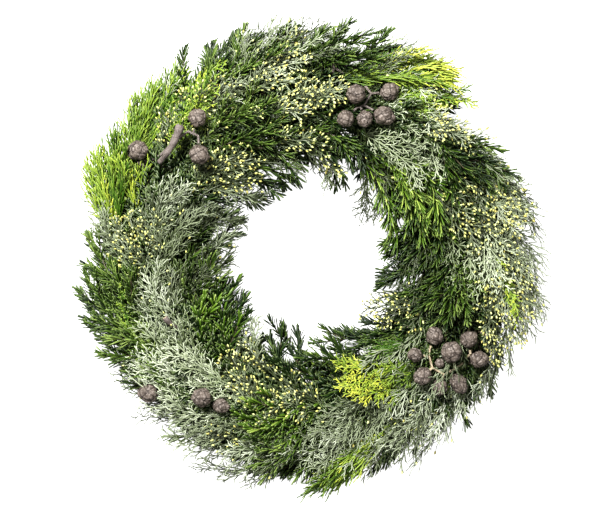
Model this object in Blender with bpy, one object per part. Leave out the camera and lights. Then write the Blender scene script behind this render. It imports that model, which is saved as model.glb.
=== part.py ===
"""Fresh evergreen wreath, lying on its back.

A welded wire frame carries three lanes of cut greens (inner, crown and outer). Each bunch has its
stems bound to the frame by one long paddle wire and its tips laid clockwise over the stems of the
next bunch. Four cypress twigs with their cones lie on top.

Metres, +Z up. Angles are degrees, counterclockwise from +X seen from above. The origin is on the
surface that the wreath lies on, under the middle of the ring.
"""

import math

import bmesh
import bpy
from mathutils import Matrix, Vector
from mathutils.bvhtree import BVHTree

# Driving dimensions
RING_RADIUS = 0.195  # middle of the frame to the middle of the greens
BODY_HALF_WIDTH = 0.108  # of the ring of greens, seen from above
BODY_RISE = 0.068  # from the heart of the greens to their top
OUTLINE = ((2, 0.020, 55), (3, 0.012, 20), (7, 0.022, 98))  # waves round the ring, share, degrees
HEART_HEIGHT = 0.020  # of the heart above the surface

# Wire frame and binding wire
RAIL_OFFSET = 0.012  # each rail from the ring radius
RAIL_RADIUS = 0.0022
RAIL_HEIGHT = 0.0058
RAIL_SIDES = (48, 8)  # round the ring, round the rod
BRACE_COUNT = 6
BRACE_RADIUS = 0.00154
WIRE_RADIUS = 0.0006
WIRE_TURNS = 36
POINTS_PER_TURN = 10
OPEN_POINTS = 4  # left out of the last turn, so that the two cut ends stay apart
COIL_HEIGHT = 0.015  # middle of a turn of the binding wire
COIL_HALF_WIDTH = 0.0205
COIL_HALF_HEIGHT = 0.0138
COIL_SQUARENESS = 3.5  # exponent of the turn's outline: 2 is an ellipse

# Bunches
STEM_RADIUS = 0.0035
STEM_END = 0.11  # share of a bunch's length where the bare stems begin to leave the binding
LEAVES_START = 0.30  # share of its length from which it is all greens
SHELL_LOW = 0.28  # where the middle of a bunch begins, as a share of the body's radius
SHELL_HIGH = 0.88  # where it ends, at the tip
LEAF_DEPTH = 0.135  # half the thickness of a bunch, as a share of the body's radius
STEM_DEPTH_SHARE = 0.3  # of that thickness where the bunch is bare stems
WIDENS = (0.08, 0.42)  # shares of a bunch's length between which it opens to its full width
THICKENS = (0.20, 0.45)  # and to its full thickness
TAPERS = (0.80, 1.00)  # and between which it narrows to its tip
TIP_WIDTH_LOST = 0.6  # share of the width gone at the tip
TIP_DEPTH_LOST = 0.7  # share of the thickness gone there
BUNCH_SIDES = (10, 10)  # round the bunch, along it

TURN_STEP = 360 / WIRE_TURNS
# middle and spread: where the lane lies round the body, in degrees up from the outside.
# overlap: a bunch's length in lane steps, so that its tip covers the next stems.
# stem: place of the bare stems beside the ring radius and above the surface.
# shift: degrees that bring the stems out of the binding midway between two turns of wire.
LANES = {
    "outer": {
        "count": 12,
        "middle": 12.0,
        "spread": 45.0,
        "overlap": 1.95,
        "stem": (0.0105, 0.0145),
        "shift": 6.5,
    },
    "crown": {
        "count": 12,
        "middle": 90.0,
        "spread": 27.5,
        "overlap": 1.95,
        "stem": (0.0, 0.0200),
        "shift": 5.0,
    },
    "inner": {
        "count": 9,
        "middle": 167.0,
        "spread": 46.0,
        "overlap": 1.75,
        "stem": (-0.0105, 0.0145),
        "shift": 2.7,
    },
}
# Kind of green in each bunch, clockwise from the first one past 12 o'clock.
GREENS = {
    "outer": "gold fir cypress fir cypress fir cypress fir fir gold gold fir".split(),
    "crown": "cypress fir cypress cypress cypress fir cypress cypress cypress cypress fir cypress".split(),
    "inner": "fir fir cypress gold fir fir cypress fir cypress".split(),
}

# Cones: angle and radius where each lies, its width and its length.
CONES = {
    "upper_left": [
        (147.5, 0.252, 0.026, 0.027),
        (128.5, 0.222, 0.022, 0.025),
        (136.5, 0.187, 0.026, 0.025),
    ],
    "upper_right": [
        (64.8, 0.230, 0.025, 0.024),
        (74.5, 0.210, 0.022, 0.026),
        (75.9, 0.178, 0.017, 0.027),
        (68.9, 0.185, 0.021, 0.023),
        (63.0, 0.199, 0.026, 0.026),
    ],
    "lower_right": [
        (328.6, 0.179, 0.023, 0.023),
        (333.4, 0.218, 0.023, 0.022),
        (326.9, 0.206, 0.026, 0.028),
        (329.6, 0.242, 0.022, 0.024),
        (321.5, 0.203, 0.012, 0.013),
        (314.2, 0.197, 0.024, 0.023),
        (315.7, 0.222, 0.019, 0.020),
        (320.3, 0.237, 0.021, 0.026),
        (317.9, 0.173, 0.019, 0.018),
    ],
    "lower_left": [
        (219.5, 0.260, 0.025, 0.026),
        (231.6, 0.214, 0.028, 0.025),
        (238.4, 0.210, 0.022, 0.019),
    ],
}
# Main stem of each twig, from where it dips between the crown and outer lanes: angle and radius.
TWIGS = {
    "upper_left": [(150.5, 0.2405), (145.0, 0.226), (139.0, 0.222), (133.5, 0.218), (132.0, 0.205)],
    "upper_right": [(83.0, 0.2405), (74.4, 0.2305), (69.9, 0.218), (70.8, 0.201), (73.0, 0.195)],
    "lower_right": [
        (337.0, 0.2405),
        (331.4, 0.2295),
        (326.2, 0.2285),
        (321.6, 0.2205),
        (319.5, 0.217),
        (318.6, 0.200),
        (321.0, 0.188),
        (323.2, 0.1835),
    ],
    "lower_left": [(243.0, 0.2405), (238.0, 0.229), (231.0, 0.236), (225.0, 0.246)],
}
CONE_SIDES = (10, 7)  # round a cone, along it
TWIG_RADIUS = 0.0015
TAIL_ANGLE = 59.8  # of the gap between the crown and outer lanes, round the body
TAIL_DEPTHS = (0.55, 0.90)  # where the twig's foot runs, as shares of the body's radius
STEM_STEP = 0.006  # between the points of a stem that lies on the greens
CLEARANCE = 0.0004  # between pieces that touch
TWIG_CLEARANCE = 0.0010  # under a stem, which is straight between its points
DROP_HEIGHT = 0.150  # that a cone or a stem is lowered from, on to the greens
DROP_STEP = 0.0002

COLOURS = {
    "fir": (0.055, 0.115, 0.022),
    "cypress": (0.275, 0.335, 0.245),
    "gold": (0.330, 0.480, 0.040),
    "cone": (0.175, 0.135, 0.115),
    "twig": (0.230, 0.170, 0.115),
    "steel": (0.060, 0.110, 0.060),
    "wire": (0.045, 0.085, 0.045),
}
ROUGHNESS = {"steel": 0.45, "wire": 0.45, "cone": 0.75, "twig": 0.8}
METALLIC = {"steel": 0.6, "wire": 0.6}


def clear_scene():
    for obj in list(bpy.data.objects):
        bpy.data.objects.remove(obj, do_unlink=True)


def material(name):
    found = bpy.data.materials.get(name)
    if found:
        return found
    made = bpy.data.materials.new(name)
    made.use_nodes = True
    shader = made.node_tree.nodes["Principled BSDF"]
    shader.inputs["Base Color"].default_value = (*COLOURS[name], 1.0)
    shader.inputs["Roughness"].default_value = ROUGHNESS.get(name, 0.6)
    shader.inputs["Metallic"].default_value = METALLIC.get(name, 0.0)
    return made


def add_object(name, data, finish, parent):
    obj = bpy.data.objects.new(name, data)
    obj.data.materials.append(material(finish))
    wreath.objects.link(obj)
    obj.parent = parent
    return obj


def move_to(collection, obj):
    for home in list(obj.users_collection):
        home.objects.unlink(obj)
    collection.objects.link(obj)


def smoothstep(low, high, x):
    t = min(max((x - low) / (high - low), 0.0), 1.0)
    return t * t * (3 - 2 * t)


def ring_place(angle, radius, height):
    turn = math.radians(angle)
    return Vector((radius * math.cos(turn), radius * math.sin(turn), height))


def shell_place(angle, around, depth):
    """A point of the body: around is the angle up from the outside, depth the share of its radius."""
    turn = math.radians(around)
    radius = RING_RADIUS + depth * half_width(angle) * math.cos(turn)
    height = HEART_HEIGHT + depth * BODY_RISE * math.sin(turn)
    return ring_place(angle, radius, height)


def half_width(angle):
    """Half-width of the body, which swells and narrows a little round the ring."""
    swell = sum(share * math.cos(math.radians(waves * (angle - at))) for waves, share, at in OUTLINE)
    return BODY_HALF_WIDTH * (1 + swell)


# Wire frame and the wire that binds the stems to it


def join(target, other):
    """Boolean union of two overlapping solids, kept as a modifier on the first."""
    union = target.modifiers.new("union_" + other.name, "BOOLEAN")
    union.operation = "UNION"
    union.object = other
    other.hide_render = True
    other.display_type = "WIRE"
    move_to(helpers, other)


def rail(radius):
    bpy.ops.mesh.primitive_torus_add(
        major_segments=RAIL_SIDES[0],
        minor_segments=RAIL_SIDES[1],
        major_radius=radius,
        minor_radius=RAIL_RADIUS,
        location=(0, 0, RAIL_HEIGHT),
    )
    return bpy.context.object


def make_frame(parent):
    """Two rails welded together by short braces."""
    frame = rail(RING_RADIUS + RAIL_OFFSET)
    frame.name = "wire_frame"
    frame.data.materials.append(material("steel"))
    inner = rail(RING_RADIUS - RAIL_OFFSET)
    inner.name = "inner_rail"
    join(frame, inner)
    for i in range(BRACE_COUNT):
        turn = math.radians((i + 0.5) * 360 / BRACE_COUNT)
        bpy.ops.mesh.primitive_cylinder_add(
            vertices=RAIL_SIDES[1],
            radius=BRACE_RADIUS,
            depth=2 * RAIL_OFFSET,
            location=(RING_RADIUS * math.cos(turn), RING_RADIUS * math.sin(turn), RAIL_HEIGHT),
            rotation=(0, math.pi / 2, turn),
        )
        brace = bpy.context.object
        brace.name = f"brace_{i + 1}"
        join(frame, brace)
    move_to(wreath, frame)
    frame.parent = parent


def coil_point(turns):
    """A point of the binding wire, after this many turns round the frame and the stems."""
    around = 2 * math.pi * turns
    power = 2 / COIL_SQUARENESS
    across = math.copysign(abs(math.cos(around)) ** power, math.cos(around))
    up = math.copysign(abs(math.sin(around)) ** power, math.sin(around))
    radius = RING_RADIUS + COIL_HALF_WIDTH * across
    return ring_place(-turns * TURN_STEP, radius, COIL_HEIGHT + COIL_HALF_HEIGHT * up)


def make_binding_wire(parent):
    count = WIRE_TURNS * POINTS_PER_TURN - OPEN_POINTS
    curve = bpy.data.curves.new("binding_wire", "CURVE")
    curve.dimensions = "3D"
    curve.bevel_depth = WIRE_RADIUS
    curve.bevel_resolution = 0
    curve.use_fill_caps = True
    spline = curve.splines.new("POLY")
    spline.points.add(count)
    for i in range(count + 1):
        spline.points[i].co = (*coil_point(i / POINTS_PER_TURN), 1.0)
    add_object("binding_wire", curve, "wire", parent)


# Bunches of greens


def bunch_width(along):
    """Half-width of a bunch along its length, as a share of its lane's."""
    return smoothstep(*WIDENS, along) * (1 - TIP_WIDTH_LOST * smoothstep(*TAPERS, along))


def bunch_depth(along):
    """Half-thickness of a bunch along its length, as a share of the body's radius."""
    opened = STEM_DEPTH_SHARE + (1 - STEM_DEPTH_SHARE) * smoothstep(*THICKENS, along)
    return LEAF_DEPTH * opened * (1 - TIP_DEPTH_LOST * smoothstep(*TAPERS, along))


def bunch_point(lane, base_angle, along, round_it):
    """A point on a bunch: bare stems beside the frame at first, then greens that climb to the top."""
    angle = base_angle - along * lane["overlap"] * 360 / lane["count"]
    middle = math.radians(lane["middle"])
    side = math.cos(round_it)
    up = math.sin(round_it)
    stem_radius = RING_RADIUS + lane["stem"][0]
    stem_radius += STEM_RADIUS * (up * math.cos(middle) - side * math.sin(middle))
    stem_height = lane["stem"][1] + STEM_RADIUS * (up * math.sin(middle) + side * math.cos(middle))
    stem = ring_place(angle, stem_radius, stem_height)
    around = lane["middle"] + lane["spread"] * bunch_width(along) * side
    depth = SHELL_LOW + (SHELL_HIGH - SHELL_LOW) * along + bunch_depth(along) * up
    greens = shell_place(angle, around, depth)
    return stem.lerp(greens, smoothstep(STEM_END, LEAVES_START, along))


def make_bunch(name, lane, base_angle, kind, parent):
    """A sphere drawn out into a bunch, with its underside cut flat where it lies on the surface."""
    mesh = bpy.data.meshes.new(name)
    form = bmesh.new()
    bmesh.ops.create_uvsphere(form, u_segments=BUNCH_SIDES[0], v_segments=BUNCH_SIDES[1], radius=1.0)
    for vertex in form.verts:
        x, y, z = vertex.co
        along = (1 + z) / 2
        if abs(z) > 0.999:  # the two ends close on the middle line
            ends = [bunch_point(lane, base_angle, along, side) for side in (0, math.pi)]
            vertex.co = (ends[0] + ends[1]) / 2
        else:
            vertex.co = bunch_point(lane, base_angle, along, math.atan2(y, x))
    if min(vertex.co.z for vertex in form.verts) < 0:
        bmesh.ops.bisect_plane(
            form,
            geom=form.verts[:] + form.edges[:] + form.faces[:],
            plane_co=(0, 0, 0),
            plane_no=(0, 0, 1),
            clear_inner=True,
        )
        rim = [edge for edge in form.edges if edge.is_boundary]
        bmesh.ops.holes_fill(form, edges=rim, sides=0)
    bmesh.ops.recalc_face_normals(form, faces=form.faces)
    if form.calc_volume(signed=True) < 0:
        bmesh.ops.reverse_faces(form, faces=form.faces)
    form.to_mesh(mesh)
    form.free()
    mesh.shade_smooth()
    return add_object(name, mesh, kind, parent)


def make_bunches(parent):
    bunches = []
    for lane_name, lane in LANES.items():
        step = 360 / lane["count"]
        for i, kind in enumerate(GREENS[lane_name]):
            base_angle = 90 + lane["shift"] - i * step
            name = f"{lane_name}_{kind}_bunch_{i + 1:02d}"
            bunches.append(make_bunch(name, lane, base_angle, kind, parent))
    return bunches


# Cones and their twigs


def solid_tree(solids):
    """The faces of these objects, for finding how near a point is to them."""
    corners = []
    faces = []
    for solid in solids:
        first = len(corners)
        corners += [solid.location + vertex.co for vertex in solid.data.vertices]
        faces += [[first + i for i in face.vertices] for face in solid.data.polygons]
    return BVHTree.FromPolygons(corners, faces)


def settle(angle, radius, reach, tree):
    """Where a ball of this radius comes to rest when it is lowered on to the solids."""
    place = ring_place(angle, radius, DROP_HEIGHT)
    while tree.find_nearest(place, reach)[0] is None and place.z > reach:
        place.z -= DROP_STEP
    place.z += DROP_STEP
    return place


def make_cone(name, place, width, length, angle, parent):
    mesh = bpy.data.meshes.new(name)
    form = bmesh.new()
    bmesh.ops.create_uvsphere(form, u_segments=CONE_SIDES[0], v_segments=CONE_SIDES[1], radius=0.5)
    bmesh.ops.scale(form, vec=(length, width, width), verts=form.verts)
    bmesh.ops.rotate(form, matrix=Matrix.Rotation(math.radians(angle), 3, "Z"), verts=form.verts)
    form.to_mesh(mesh)
    form.free()
    mesh.shade_smooth()
    cone = add_object(name, mesh, "cone", parent)
    cone.location = place
    return cone


def tube(name, points):
    """A capped tube along these points, as a mesh object that belongs to no collection yet."""
    curve = bpy.data.curves.new(name, "CURVE")
    curve.dimensions = "3D"
    curve.bevel_depth = TWIG_RADIUS
    curve.bevel_resolution = 1
    curve.use_fill_caps = True
    spline = curve.splines.new("POLY")
    spline.points.add(len(points) - 1)
    for point, place in zip(spline.points, points):
        point.co = (*place, 1.0)
    guide = bpy.data.objects.new(name + "_guide", curve)
    mesh = bpy.data.meshes.new_from_object(guide)
    bpy.data.objects.remove(guide)
    form = bmesh.new()
    form.from_mesh(mesh)
    bmesh.ops.remove_doubles(form, verts=form.verts, dist=1e-6)
    form.to_mesh(mesh)
    form.free()
    mesh.name = name
    return bpy.data.objects.new(name, mesh)


def along_stem(stem):
    """Angles and radii every few millimetres along the corners of a stem."""
    found = [stem[0]]
    for (angle, radius), (next_angle, next_radius) in zip(stem, stem[1:]):
        start = ring_place(angle, radius, 0)
        end = ring_place(next_angle, next_radius, 0)
        count = max(1, round((end - start).length / STEM_STEP))
        for i in range(1, count + 1):
            place = start.lerp(end, i / count)
            found.append((math.degrees(math.atan2(place.y, place.x)), place.xy.length))
    return found


def make_twig(cluster, cones, tree, parent):
    """A main stem that lies on the greens, its foot between two lanes, and a spur to each cone."""
    name = "cone_twig_" + cluster
    foot = [shell_place(TWIGS[cluster][0][0], TAIL_ANGLE, depth) for depth in TAIL_DEPTHS]
    main = [
        settle(angle, radius, TWIG_RADIUS + TWIG_CLEARANCE, tree)
        for angle, radius in along_stem(TWIGS[cluster])
    ]
    twig = tube(name, foot + main)
    twig.data.materials.append(material("twig"))
    wreath.objects.link(twig)
    twig.parent = parent
    for i, (cone, (_, _, width, length)) in enumerate(zip(cones, CONES[cluster])):
        reach = max(width, length) / 2 + TWIG_RADIUS + CLEARANCE
        start = min(main, key=lambda place: (place - cone.location).length)
        towards = start - cone.location
        if towards.length > reach + 2 * TWIG_RADIUS:
            end = cone.location + towards.normalized() * reach
            join(twig, tube(f"spur_{cluster}_{i + 1}", [start, end]))


def make_cones(greens, parent):
    under = solid_tree(greens)
    for cluster, places in CONES.items():
        cones = []
        for i, (angle, radius, width, length) in enumerate(places):
            place = settle(angle, radius, max(width, length) / 2 + CLEARANCE, under)
            name = f"cone_{cluster}_{i + 1}"
            cones.append(make_cone(name, place, width, length, angle, parent))
        make_twig(cluster, cones, solid_tree(greens + cones), parent)


def make_wreath():
    root = bpy.data.objects.new("wreath_root", None)
    wreath.objects.link(root)
    make_frame(root)
    make_binding_wire(root)
    make_cones(make_bunches(root), root)


clear_scene()
wreath = bpy.data.collections.new("evergreen_wreath")
helpers = bpy.data.collections.new("welded_pieces")
bpy.context.scene.collection.children.link(wreath)
bpy.context.scene.collection.children.link(helpers)
make_wreath()
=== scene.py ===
import bpy
import numpy as np
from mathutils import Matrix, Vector


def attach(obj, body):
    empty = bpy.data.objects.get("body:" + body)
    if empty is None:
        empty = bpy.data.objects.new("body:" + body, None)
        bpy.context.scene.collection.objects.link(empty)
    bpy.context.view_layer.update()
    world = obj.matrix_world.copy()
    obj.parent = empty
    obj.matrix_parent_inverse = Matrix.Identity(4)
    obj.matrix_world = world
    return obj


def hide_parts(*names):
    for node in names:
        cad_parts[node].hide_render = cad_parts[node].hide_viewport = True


# A fresh evergreen wreath lying on its back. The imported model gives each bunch's place, and every bunch
# is grown here as sprigs of fir, cypress and gold cypress, with the cones and the wires dressed.

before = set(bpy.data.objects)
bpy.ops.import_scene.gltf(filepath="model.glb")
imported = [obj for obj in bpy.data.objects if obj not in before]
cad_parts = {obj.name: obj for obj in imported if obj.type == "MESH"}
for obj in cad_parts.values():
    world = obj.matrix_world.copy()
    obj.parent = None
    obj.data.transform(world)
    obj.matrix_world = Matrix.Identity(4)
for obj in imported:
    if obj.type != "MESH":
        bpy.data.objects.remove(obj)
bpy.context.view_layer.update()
dice = np.random.default_rng(24)

# The ring of greens, read from the frame

body = {
    "heart": 0.020,  # height of the middle of the greens, metres
    "rim": 0.303,  # leaf tips past this radius are pressed back towards it
    "hole": 0.078,  # and tips inside this one are pressed outwards
    "press": 0.009,  # how far past either a tip may still reach
    "ground": 0.006,  # leaves lower than this are laid flatter and flatter
    "ceiling": 0.110,  # and leaves higher than this
    "headroom": 0.006,  # how far past it a leaf may still reach
}


def readCorners(name):
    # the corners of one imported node, in metres
    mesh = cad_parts[name].data
    corners = np.empty(len(mesh.vertices) * 3, np.float32)
    mesh.vertices.foreach_get("co", corners)
    return corners.reshape(-1, 3).astype(float)


def unit(vectors):
    # each vector divided by its own length
    return vectors / np.maximum(np.linalg.norm(vectors, axis=-1, keepdims=True), 1e-12)


leafy = {  # shares of a bunch's length, from its base to its tip
    "from": 0.4,  # where its leaves begin
    "within": 0.08,  # how near to that its depth there is read
    "end": 0.995,  # and where its depth at the tip is read
}

bunchNames = sorted(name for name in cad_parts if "_bunch_" in name)
coneNames = sorted(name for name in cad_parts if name.startswith("cone_") and "twig" not in name)
twigNames = sorted(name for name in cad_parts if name.startswith("cone_twig"))

railRadii = np.hypot(*readCorners("wire_frame")[:, :2].T)
ringRadius = (railRadii.min() + railRadii.max()) / 2
greenCorners = np.concatenate([readCorners(name) for name in bunchNames])
halfWidth = np.hypot(*greenCorners[:, :2].T).max() - ringRadius
rise = greenCorners[:, 2].max() - body["heart"]
print("ring radius", round(ringRadius, 4), "half-width", round(halfWidth, 4), "rise", round(rise, 4))


def shellPoint(turn, around, depth):
    # ringRadius + depth * halfWidth * cos(around) from the centre and heart + depth * rise * sin(around)
    # high, where turn is the angle round the ring and around the angle up from its outside
    radius = ringRadius + depth * halfWidth * np.cos(around)
    height = body["heart"] + depth * rise * np.sin(around)
    return np.stack([radius * np.cos(turn), radius * np.sin(turn), height], axis=-1)


def shellNormal(turn, around):
    # the outward normal of the same elliptical section: cos(around) / halfWidth and sin(around) / rise
    flat = np.cos(around) / halfWidth
    steep = np.sin(around) / rise
    return unit(np.stack([flat * np.cos(turn), flat * np.sin(turn), steep], axis=-1))


def pressed(corners, rim):
    # tips past the rim, inside the hole, near the ground or too high are drawn smoothly back:
    # limit +- room * (1 - exp(-past / room))
    radius = np.hypot(corners[:, 0], corners[:, 1])
    room = body["press"]
    over = np.maximum(radius - rim, 0)
    under = np.maximum(body["hole"] - radius, 0)
    wanted = radius - over + room * (1 - np.exp(-over / room)) + under - room * (1 - np.exp(-under / room))
    corners[:, :2] *= (wanted / radius)[:, None]
    ground = body["ground"]
    low = corners[:, 2] < ground
    corners[low, 2] = ground * np.exp((corners[low, 2] - ground) / ground)
    above = np.maximum(corners[:, 2] - body["ceiling"], 0)
    corners[:, 2] += body["headroom"] * (1 - np.exp(-above / body["headroom"])) - above
    return corners


def readBunch(name):
    # where one bunch lies on the shell: its ends, its middle and spread, and how deep it starts and ends
    corners = readCorners(name)
    middle = np.arctan2(corners[:, 1].mean(), corners[:, 0].mean())
    turn = (np.arctan2(corners[:, 1], corners[:, 0]) - middle + np.pi) % (2 * np.pi) - np.pi + middle
    across = (np.hypot(corners[:, 0], corners[:, 1]) - ringRadius) / halfWidth
    up = (corners[:, 2] - body["heart"]) / rise
    around = (np.arctan2(up, across) + np.pi / 2) % (2 * np.pi) - np.pi / 2
    depth = np.hypot(across, up)
    share = (turn.max() - turn) / (turn.max() - turn.min())
    leaves = share > leafy["from"]
    root = np.abs(share - leafy["from"]) < leafy["within"]
    return {
        "name": name,
        "lane": name.split("_")[0],
        "kind": name.split("_")[1],
        "base": turn.max(),
        "tip": turn.min(),
        "middle": (around[leaves].max() + around[leaves].min()) / 2,
        "spread": (around[leaves].max() - around[leaves].min()) / 2,
        "low": depth[root].mean(),
        "high": depth[share > leafy["end"]].mean(),
    }


bunches = [readBunch(name) for name in bunchNames]
print(len(bunches), "bunches,", len(coneNames), "cones")

coneCorners = {name: readCorners(name) for name in coneNames}
coneMiddles = {name: (corners.min(0) + corners.max(0)) / 2 for name, corners in coneCorners.items()}
coneSpots = np.array([coneMiddles[name] for name in coneNames])
coneReach = np.array([np.ptp(coneCorners[name][:, 0]) / 2 for name in coneNames])


def overCone(points, room):
    # which of these points lie over a cone: nearer its middle than its radius + room, and higher than half
    # its radius below its middle
    apart = np.hypot(*(points[..., None, :2] - coneSpots[:, :2]).transpose(-1, *range(points.ndim)))
    higher = points[..., None, 2] > coneSpots[:, 2] - 0.5 * coneReach
    return ((apart < coneReach + room) & higher).any(-1)


# Strands: every leaf, needle, bud and stem is a closed strand carried along a short path

bands = ["fir", "longFir", "sage", "blue", "gold", "bud", "bark"]  # one band of the leaf map for each
band = {
    "edge": 0.1,  # of a band's height left empty on each side
    "strip": 0.006,  # height of one strand's strip in the leaf map
    "margin": 0.01,  # left empty before its root and past its tip
}


def strands(path, up, width, flat, kind, tint, sides=4):
    # each ring vertex = path point + width * (cos(angle) * side + flat * sin(angle) * lift), and the
    # path's first and last points close the ends. The leaf map runs root to tip one way and by tint the
    # other.
    count, points = path.shape[:2]
    rings = points - 2
    tangent = unit(path[:, 2:] - path[:, :-2])
    side = unit(np.cross(tangent, up[:, None]))
    lift = np.cross(side, tangent)
    angle = 2 * np.pi * np.arange(sides) / sides
    spoke = np.cos(angle)[:, None] * side[:, :, None] + flat * np.sin(angle)[:, None] * lift[:, :, None]
    ring = path[:, 1:-1, None] + width[..., None, None] * spoke
    corners = np.concatenate([path[:, :1], ring.reshape(count, -1, 3), path[:, -1:]], axis=1)
    here = np.arange(sides)
    following = (here + 1) % sides
    last = rings * sides + 1
    faces = [np.stack([np.zeros(sides, int), here + 1, following + 1], 1)]
    for i in range(rings - 1):
        low, high = 1 + i * sides, 1 + (i + 1) * sides
        faces.append(np.stack([low + here, high + here, high + following], 1))
        faces.append(np.stack([low + here, high + following, low + following], 1))
    faces.append(np.stack([last - sides + here, np.full(sides, last), last - sides + following], 1))
    faces = np.concatenate(faces)[None] + (np.arange(count) * (last + 1))[:, None, None]
    ahead = np.linspace(0, 1, points)
    u = np.concatenate([[0.0], np.repeat(ahead[1:-1], sides), [1.0]])
    step = 1 - np.abs(1 - 2 * here / sides)
    v = band["strip"] * np.concatenate([[0.5], np.tile(step, rings), [0.5]])
    room = 1 - 2 * band["edge"]
    row = (bands.index(kind) + band["edge"] + room * np.clip(tint, 0, 1)) / len(bands)
    along = band["margin"] + (1 - 2 * band["margin"]) * u
    leafMap = np.stack([np.broadcast_to(along, (count, last + 1)), row[:, None] + v], -1)
    return {
        "corners": corners.reshape(-1, 3),
        "faces": faces.reshape(-1, 3),
        "map": leafMap.reshape(-1, 2),
        "kind": kind,
    }


def bentPoint(twig, s):
    # start + reach * (s * head, turning towards 'toward' as s squared, and rising by lift)
    s = s[..., None]
    turned = 0.5 * twig["bend"] * s * s
    return twig["start"] + twig["reach"][..., None] * (
        (s - turned) * twig["head"] + turned * twig["toward"] + 0.5 * twig["lift"] * s * s * twig["up"]
    )


def bentTangent(twig, s):
    # the slope of the same formula
    s = s[..., None]
    turned = twig["bend"] * s
    return unit((1 - turned) * twig["head"] + turned * twig["toward"] + twig["lift"] * s * twig["up"])


def bentStrands(twig, shares, widths, flat, kind, tint, sides):
    # a strand along each twig: a point at each share of its length, and these half widths between its ends
    wide = {key: value[:, None] for key, value in twig.items()}
    path = bentPoint(wide, np.broadcast_to(np.asarray(shares, float), (len(tint), len(shares))))
    return strands(path, twig["up"], np.tile(widths, (len(tint), 1)), flat, kind, tint, sides)


def pick(twig, index):
    # some of the twigs, or one of them again and again
    return {key: value[index] for key, value in twig.items()}


clearAt = np.array([0.35, 0.7, 1.0])  # shares of a twig's length where it is tried against the cones


def clearOfCones(twig):
    # which of these twigs keep off the cones
    wide = {key: value[:, None] for key, value in twig.items()}
    points = bentPoint(wide, np.broadcast_to(clearAt, (len(twig["reach"]), len(clearAt))))
    return np.flatnonzero(~overCone(points, 0.0).any(-1))


def leaveCones(twig, tint, crossing):
    # leaves out the twigs that would lie over a cone, unless the whole sprig crosses over the cones
    if crossing:
        return twig, tint
    clear = clearOfCones(twig)
    return pick(twig, clear), tint[clear]


def onPath(path, normals, t):
    # place, forward and up at shares t of a sprig's own path, straight between its points
    spot = np.clip(t, 0, 1) * (len(path) - 1)
    i = np.minimum(spot.astype(int), len(path) - 2)
    part = (spot - i)[:, None]
    place = path[i] * (1 - part) + path[i + 1] * part
    slope = np.gradient(path, axis=0)
    forward = unit(slope[i] * (1 - part) + slope[i + 1] * part)
    up = normals[i] * (1 - part) + normals[i + 1] * part
    up = unit(up - (up * forward).sum(-1, keepdims=True) * forward)
    return place, forward, up


growth = {  # ranges that twigs are drawn from
    "angle": (0.8, 1.2),  # against their spray's own angle
    "reach": (0.78, 1.18),  # and its own length
    "within": (0.35, 0.8),  # where in its own stretch of a parent twig each one starts
    "onStem": (0.25, 0.75),  # and of a sprig's own stem
}


def shoots(place, forward, up, side, degrees, reach, tilt, bend):
    # each leaves at its angle to its side, tilted at random out of the spray's plane, and bends forwards
    # again: head = cos(angle) * forward + sin(angle) * across + tilt * up
    count = len(place)
    angle = np.radians(degrees * dice.uniform(*growth["angle"], count))[:, None]
    across = side[:, None] * np.cross(forward, up)
    head = np.cos(angle) * forward + np.sin(angle) * across + dice.normal(0, tilt, count)[:, None] * up
    return {
        "start": place,
        "head": unit(head),
        "toward": forward,
        "up": up,
        "reach": reach * dice.uniform(*growth["reach"], count),
        "bend": np.full((count, 1), bend),
        "lift": dice.normal(0, tilt, count)[:, None],
    }


def rootsOn(twig, every):
    # evenly along each twig, on its left and right in turn: whose they are, how far along, and which side
    each = np.maximum(2, np.round(twig["reach"] / every).astype(int))
    owner = np.repeat(np.arange(len(each)), each)
    order = np.arange(len(owner)) - np.repeat(np.cumsum(each) - each, each)
    share = (order + dice.uniform(*growth["within"], len(owner))) / each[owner]
    return owner, share, np.where((order + owner) % 2, 1.0, -1.0)


def rootsOnPath(path, normals, every, first, last):
    # the same along a sprig's own path, from one share of its length to another
    count = max(2, int(pathLength(path) * (last - first) / every))
    t = first + (last - first) * (np.arange(count) + dice.uniform(*growth["onStem"], count)) / count
    return (*onPath(path, normals, t), t, np.where(np.arange(count) % 2, 1.0, -1.0))


def pathLength(path):
    # the sum of the steps between its points
    return np.linalg.norm(np.diff(path, axis=0), axis=1).sum()


def stem(path, normals, thick, thin, kind, tint):
    # one strand along the whole path, its half width falling evenly from thick to thin
    width = np.linspace(thick, thin, len(path) - 2)[None]
    return strands(path[None], normals[len(path) // 2][None], width, 1.0, kind, np.array([tint]), sides=5)


# Cypress sprays: stem, side stems, branchlets and cords, each on the one before, some ending in buds.
# Each order: every so many mm, degrees from its parent, mm long, mm half wide.

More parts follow.
